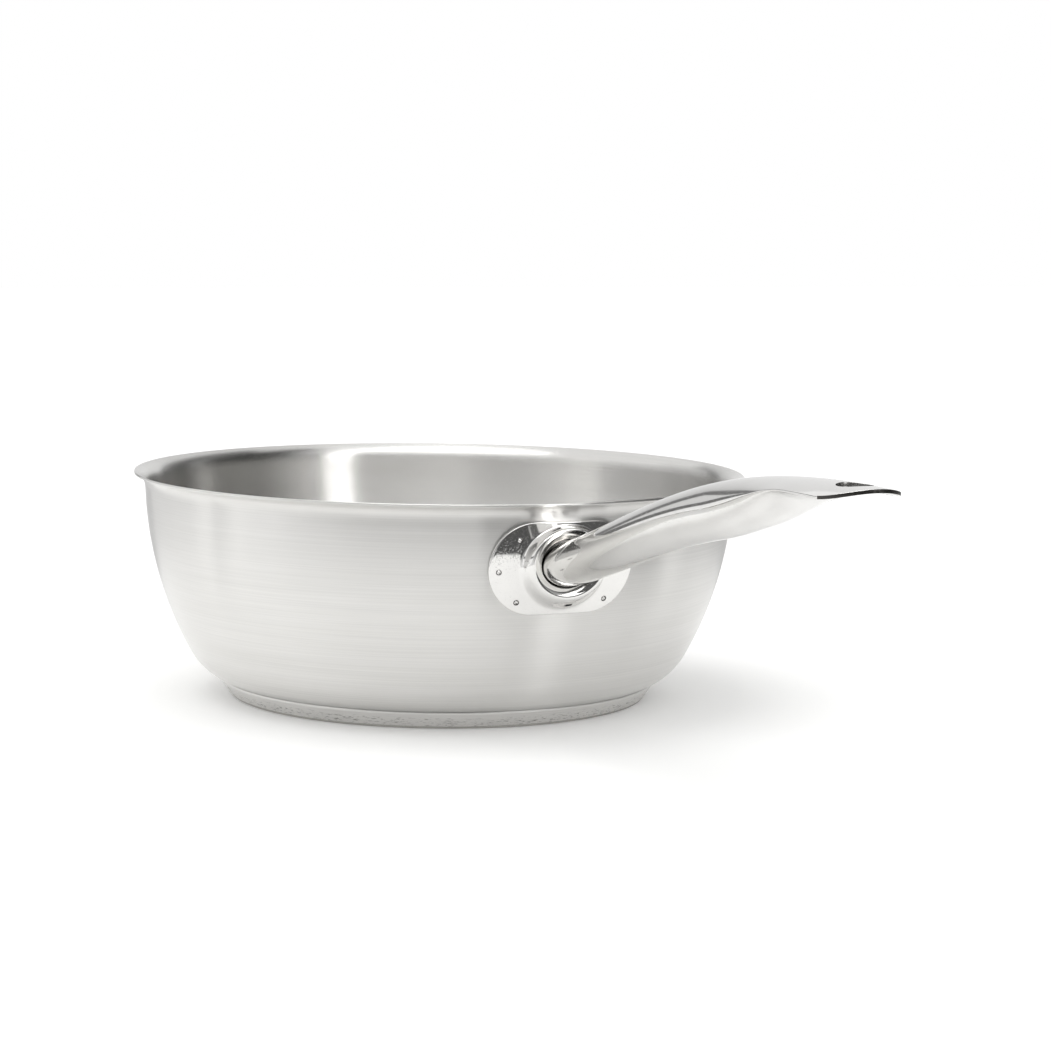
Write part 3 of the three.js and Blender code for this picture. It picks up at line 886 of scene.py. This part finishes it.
def turned_aluminium():
    """Pressed aluminium disc, its edge turned and left bare. The eye sees a light, dull band with
    fine turning lines and small dark pits in its lower half. The real lines are finer than the
    picture can show, so they are drawn 0.4 mm apart."""
    material, tree = new_material("turned_aluminium")
    turning = brush_lines(tree, stroke=40, spacing=0.4, detail=3.0, roughness=0.6)
    bare = add_node(tree, "ShaderNodeMix", {"data_type": "RGBA"}, {
        "Factor": turning, 6: linear_colour("d2d1cf"), 7: linear_colour("eeedeb"),
    })
    pitting = brush_lines(tree, stroke=2.6, spacing=0.4, detail=3.0, roughness=0.6)
    pits = add_node(tree, "ShaderNodeMapRange", inputs={
        "Value": pitting, "From Min": 0.56, "From Max": 0.66, "To Max": 0.75,
    })
    place = add_node(tree, "ShaderNodeTexCoord")
    height = add_node(tree, "ShaderNodeSeparateXYZ", inputs={"Vector": place.outputs["Object"]})
    low_down = add_node(tree, "ShaderNodeMapRange", inputs={
        "Value": height.outputs["Z"], "From Min": PIT_TOP * MM, "From Max": PIT_FULL * MM,
    })
    pitted = add_node(tree, "ShaderNodeMath", {"operation": "MULTIPLY"}, {
        0: pits.outputs["Result"], 1: low_down.outputs["Result"],
    })
    colour = add_node(tree, "ShaderNodeMix", {"data_type": "RGBA"}, {
        "Factor": pitted.outputs["Value"], 6: bare.outputs[2], 7: linear_colour("6f6d6a"),
    })
    metal_surface(tree, turning, strength=0.3, depth=0.03, look={
        "Base Color": colour.outputs[2], "Roughness": 0.46,
    })
    return material


def ferritic_steel():
    """Magnetic stainless disc, ground in rings and a little stained by heat. The eye sees a thin
    grey edge under the core, and dull rings below. The rings are drawn coarser than real ones."""
    material, tree = new_material("ferritic_steel")
    rings = brush_lines(tree, stroke=30, spacing=0.5, detail=4.0)
    colour = add_node(tree, "ShaderNodeMix", {"data_type": "RGBA"}, {
        "Factor": rings, 6: linear_colour("a9a7a3"), 7: linear_colour("c8c6c2"),
    })
    dullness = add_node(tree, "ShaderNodeMapRange", inputs={"Value": rings, "To Min": 0.3, "To Max": 0.46})
    metal_surface(tree, rings, strength=0.3, depth=0.03, look={
        "Base Color": colour.outputs[2], "Roughness": dullness.outputs["Result"],
    })
    return material


def polished_stainless():
    """Stainless sheet buffed to a mirror. The eye sees sharp reflections that waver a little,
    with faint hazy specks. A cut edge is dull, and painted shade makes it dark."""
    material, tree = new_material("polished_stainless")
    place = add_node(tree, "ShaderNodeTexCoord")
    waver = add_node(tree, "ShaderNodeTexNoise", inputs={
        "Vector": place.outputs["Object"], "Scale": 1 / (14 * MM), "Detail": 1.0,
    })
    haze = add_node(tree, "ShaderNodeTexNoise", inputs={
        "Vector": place.outputs["Object"], "Scale": 1 / (0.7 * MM), "Detail": 3.0, "Roughness": 0.6,
    })
    dullness = add_node(tree, "ShaderNodeMapRange", inputs={
        "Value": haze.outputs["Fac"], "From Min": 0.5, "From Max": 0.72, "To Min": 0.05, "To Max": 0.28,
    })
    tone = add_node(tree, "ShaderNodeMix", {"data_type": "RGBA"}, {
        "Factor": waver.outputs["Fac"], 6: linear_colour("e2e1df"), 7: linear_colour("ebeae8"),
    })
    sheared = add_node(tree, "ShaderNodeAttribute", {"attribute_name": "sheared"})
    # Painted shade: the cut edges and the hang hole's wall are coloured dark, besides being dull
    colour = add_node(tree, "ShaderNodeMix", {"data_type": "RGBA"}, {
        "Factor": sheared.outputs["Fac"], 6: tone.outputs[2], 7: linear_colour("504e4c"),
    })
    roughness = add_node(tree, "ShaderNodeMath", {"operation": "MULTIPLY_ADD"}, {
        0: sheared.outputs["Fac"], 1: 0.3, 2: dullness.outputs["Result"],
    })
    metal_surface(tree, waver.outputs["Fac"], strength=0.2, depth=0.05, look={
        "Base Color": colour.outputs[2], "Roughness": roughness.outputs["Value"],
    })
    return material


def weld_bead_steel():
    """Raw stainless weld bead. The eye sees dull ripples, darkened by heat, deep in the boss."""
    material, tree = new_material("weld_bead_steel")
    place = add_node(tree, "ShaderNodeTexCoord")
    ripple = add_node(tree, "ShaderNodeTexNoise", inputs={
        "Vector": place.outputs["Object"], "Scale": 1 / (0.8 * MM), "Detail": 3.0,
    })
    colour = add_node(tree, "ShaderNodeMix", {"data_type": "RGBA"}, {
        "Factor": ripple.outputs["Fac"], 6: linear_colour("6e6963"), 7: linear_colour("a19c95"),
    })
    metal_surface(tree, ripple.outputs["Fac"], strength=0.6, depth=0.1, look={
        "Base Color": colour.outputs[2], "Roughness": 0.5,
    })
    return material


WHITE = linear_colour("ffffff")

# Camera, in metres and radians, and millimetres for its lens and sensor
CAMERA_TURN = math.radians(66.8)        # round the pan
CAMERA_DISTANCE = 1.2008
CAMERA_HEIGHT = 0.2123
CAMERA_YAW = 0.0295
CAMERA_PITCH = 0.1185
CAMERA_ROLL = 0.0163
CAMERA_LENS = 100.35
SENSOR_WIDTH = 36.0

# Stage, in metres: white paper in a white surround, a lamp, and cards that only the metal sees
FLOOR_SIZE = 8.0
FLOOR_DROP = 0.0002         # keeps the paper just clear of the base
FLOOR_LIFT = 0.11           # white added to the paper for rays that see it, as in a bright photo
AMBIENT = 0.9
LAMP_STRENGTH = 0.8
LAMP_SPREAD = math.radians(45)
LAMP_HEIGHT_ANGLE = math.radians(72)
LAMP_SIDE = -95             # degrees to the right of the camera, so it stands to the left
WALL_DISTANCE = 1.5
WALL_STEP = 0.01            # each wall stands this much nearer than the one before
CARD_STEPS = 12
CARD_RISE = 0.0005          # each floor card lies this much higher than the one before

# Walls: name, start and end in degrees right of the camera, bottom, top and light from end to end
WALLS = (
    ("backdrop_left", -205, -157, 0.12, 0.9, (0.92, 0.88, 0.84, 0.78, 0.72, 0.62)),
    ("dark_gap_left", -157, -145, 0, 0.9, (0.45, 0.2, 0.2, 0.3)),
    ("grey_wall_left", -146, -110, 0.21, 0.9, (0.74, 0.78)),
    ("pale_wall_left", -111, -46, 0, 1.3, (1.0, 1.1)),
    ("skirting_left", -146, -50, 0.21, 0.35, (0.18, 0.18)),
    ("dark_front", -60, 40, 0, 0.85, (0.8, 0.25, 0.12, 0.1)),
    ("window_right", 39, 52.5, 0, 3.2, (2.5, 2.5)),
    ("grey_wall_right", 52, 80, 0, 1.2, (0.45, 0.1)),
    ("dark_wall_right", 79, 119, 0, 3.0, (0.03, 0.03)),
    ("door_right", 118, 130, 0, 1.85, (0.3, 0.3)),
    ("dark_corner_right", 129, 145, 0, 1.85, (0.1, 0.1)),
    ("back_wall_right", 144, 155, 0, 1.85, (0.2, 0.3)),
)

# Softbox overhead
SOFTBOX_START, SOFTBOX_END = -70, 50
SOFTBOX_NEAR, SOFTBOX_FAR = 0.0, 1.1
SOFTBOX_HEIGHT = 1.5
SOFTBOX_LEVELS = (4.2, 4.2)

# Floor cards, which reach out to the walls: name, start, end, near edge's distance and light
TABLE_EDGE = 0.31
FLOOR_CARDS = (
    ("dim_foreground", -70, 14, TABLE_EDGE, (0.97, 0.8, 0.7, 0.62)),
    ("dark_foreground", 14, 85, TABLE_EDGE, (0.1, 0.1)),
    ("dark_stand_left", -85, -80, TABLE_EDGE, (0.5, 0.5)),
    ("dim_left", -165, -95, TABLE_EDGE, (0.7, 0.72, 0.8, 0.93)),
    ("dim_right", 95, 165, TABLE_EDGE, (0.75, 0.62, 0.62, 0.7)),
    ("dark_far_foreground", -62, 14, 1.15, (0.12, 0.12)),
)


def seen_directly(tree):
    """1 for camera, glossy and transmission rays, which see the white surround itself."""
    path = add_node(tree, "ShaderNodeLightPath")
    seen = add_node(tree, "ShaderNodeMath", {"operation": "ADD", "use_clamp": True}, {
        0: path.outputs["Is Camera Ray"], 1: path.outputs["Is Glossy Ray"],
    })
    return add_node(tree, "ShaderNodeMath", {"operation": "ADD", "use_clamp": True}, {
        0: seen.outputs["Value"], 1: path.outputs["Is Transmission Ray"],
    }).outputs["Value"]


def white_surround():
    """A world that is white to look at and lights the pan a little less."""
    world = bpy.data.worlds.new("white_surround")
    world.use_nodes = True
    tree = world.node_tree
    tree.nodes.clear()
    light = add_node(tree, "ShaderNodeBackground", inputs={"Color": WHITE, "Strength": AMBIENT})
    seen = add_node(tree, "ShaderNodeBackground", inputs={"Color": WHITE, "Strength": 1.0})
    both = add_node(tree, "ShaderNodeMixShader", inputs={
        0: seen_directly(tree), 1: light.outputs["Background"], 2: seen.outputs["Background"],
    })
    add_node(tree, "ShaderNodeOutputWorld", inputs={"Surface": both.outputs["Shader"]})
    bpy.context.scene.world = world


def paper_floor():
    """White paper, dull and even, which keeps the pan's shadow."""
    material, tree = new_material("white_paper")
    paper = add_node(tree, "ShaderNodeBsdfDiffuse", inputs={"Color": linear_colour("f7f7f6")})
    white = add_node(tree, "ShaderNodeEmission", inputs={"Color": WHITE, "Strength": FLOOR_LIFT})
    lifted = add_node(tree, "ShaderNodeAddShader", inputs={
        0: paper.outputs["BSDF"], 1: white.outputs["Emission"],
    })
    both = add_node(tree, "ShaderNodeMixShader", inputs={
        0: seen_directly(tree), 1: paper.outputs["BSDF"], 2: lifted.outputs["Shader"],
    })
    add_node(tree, "ShaderNodeOutputMaterial", inputs={"Surface": both.outputs["Shader"]})
    half = FLOOR_SIZE / 2
    mesh = bpy.data.meshes.new("floor")
    corners = [(-half, -half), (half, -half), (half, half), (-half, half)]
    mesh.from_pydata([(x, y, -FLOOR_DROP) for x, y in corners], [], [(0, 1, 2, 3)])
    mesh.materials.append(material)
    add_object("floor", mesh)


def card(name, columns, levels):
    """A studio card that only the metal sees, not the camera or the floor. It has two points in
    each column, and its brightness runs through the levels from end to end."""
    material, tree = new_material(name)
    level = add_node(tree, "ShaderNodeAttribute", {"attribute_name": "level"})
    glow = add_node(tree, "ShaderNodeEmission", inputs={
        "Color": WHITE, "Strength": level.outputs["Fac"],
    })
    add_node(tree, "ShaderNodeOutputMaterial", inputs={"Surface": glow.outputs["Emission"]})
    points = [point for column in columns for point in column]
    faces = [(2 * step, 2 * step + 2, 2 * step + 3, 2 * step + 1) for step in range(len(columns) - 1)]
    mesh = bpy.data.meshes.new(name)
    mesh.from_pydata(points, [], faces)
    mesh.materials.append(material)
    brightness = mesh.attributes.new("level", "FLOAT", "POINT")
    for place in range(len(points)):
        share = (place // 2) / CARD_STEPS * (len(levels) - 1)
        before = min(int(share), len(levels) - 2)
        brightness.data[place].value = mix(levels[before], levels[before + 1], share - before)
    piece = add_object(name, mesh)
    piece.visible_camera = False
    piece.visible_diffuse = False
    piece.visible_shadow = False


def card_columns(start, end, near, far):
    """Columns of a card round the pan. Its angles count to the right from the camera, in
    degrees, and its near and far edges are (distance, height) pairs."""
    columns = []
    for step in range(CARD_STEPS + 1):
        turn = math.radians(mix(start, end, step / CARD_STEPS)) + CAMERA_TURN - QUARTER
        columns.append([
            (distance * math.cos(turn), distance * math.sin(turn), height)
            for distance, height in (near, far)
        ])
    return columns


def studio():
    white_surround()
    paper_floor()
    for layer, (name, start, end, bottom, top, levels) in enumerate(WALLS):
        distance = WALL_DISTANCE - layer * WALL_STEP
        card(name, card_columns(start, end, (distance, bottom), (distance, top)), levels)
    softbox_edges = [(distance, SOFTBOX_HEIGHT) for distance in (SOFTBOX_NEAR, SOFTBOX_FAR)]
    card("softbox", card_columns(SOFTBOX_START, SOFTBOX_END, *softbox_edges), SOFTBOX_LEVELS)
    for layer, (name, start, end, near, levels) in enumerate(FLOOR_CARDS, 1):
        rise = layer * CARD_RISE
        card(name, card_columns(start, end, (near, rise), (WALL_DISTANCE, rise)), levels)
    lamp = bpy.data.lights.new("soft_lamp", "SUN")
    lamp.angle = LAMP_SPREAD
    lamp.energy = LAMP_STRENGTH
    light = add_object("soft_lamp", lamp)
    side = math.radians(LAMP_SIDE) + CAMERA_TURN
    light.rotation_euler = (QUARTER - LAMP_HEIGHT_ANGLE, 0, side)
    light.visible_glossy = False


def photo_camera():
    """The camera as fitted to the pan's rim, wall and base in the photo."""
    yaw, pitch, roll = CAMERA_YAW, CAMERA_PITCH, CAMERA_ROLL
    forward = Vector((
        math.sin(yaw) * math.cos(pitch), math.cos(yaw) * math.cos(pitch), -math.sin(pitch),
    ))
    level_right = Vector((math.cos(yaw), -math.sin(yaw), 0))
    level_up = level_right.cross(forward)
    right = math.cos(roll) * level_right + math.sin(roll) * level_up
    up = math.cos(roll) * level_up - math.sin(roll) * level_right
    axes = Matrix((right, up, -forward)).transposed()
    lens = bpy.data.cameras.new("photo_camera")
    lens.lens = CAMERA_LENS
    lens.sensor_width = SENSOR_WIDTH
    camera = add_object("photo_camera", lens)
    place = Matrix.Translation((0, -CAMERA_DISTANCE, CAMERA_HEIGHT)) @ axes.to_4x4()
    camera.matrix_world = Matrix.Rotation(CAMERA_TURN, 4, "Z") @ place
    bpy.context.scene.camera = camera


# The pan

def dress_pan():
    turned = (
        ("vessel", vessel_outline(), brushed_stainless(), "vessel_steel"),
        ("base_core", base_core_outline(), turned_aluminium(), "core_aluminium"),
        ("base_plate", base_plate_outline(), ferritic_steel(), "foot_steel"),
    )
    for node, outline, finish, slot in turned:
        set_up(turned_piece(node + "_fine", outline, finish), slot, node)

    mirror = polished_stainless()
    plate = cut_away(add_object("handle_plate_fine", plate_mesh()), plate_punches())
    tube = cut_away(add_object("handle_tube_fine", handle_mesh()), hang_hole_mesh())
    mark_cut_edges_dull_and_shaded(tube.data)
    for piece, node in ((plate, "handle_plate"), (tube, "handle_tube")):
        shade_smooth(piece.data)
        piece.data.materials.clear()
        piece.data.materials.append(mirror)
        set_up(piece, "polished_steel", node)
    welds = [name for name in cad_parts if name.startswith("spot_weld_")]
    set_up(spot_weld_piece(mirror), "polished_steel", *sorted(welds))

    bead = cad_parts["handle_root_weld"]
    bead.data.materials.clear()
    bead.data.materials.append(weld_bead_steel())


bpy.context.scene.view_settings.view_transform = "Standard"
photo_camera()
studio()
dress_pan()
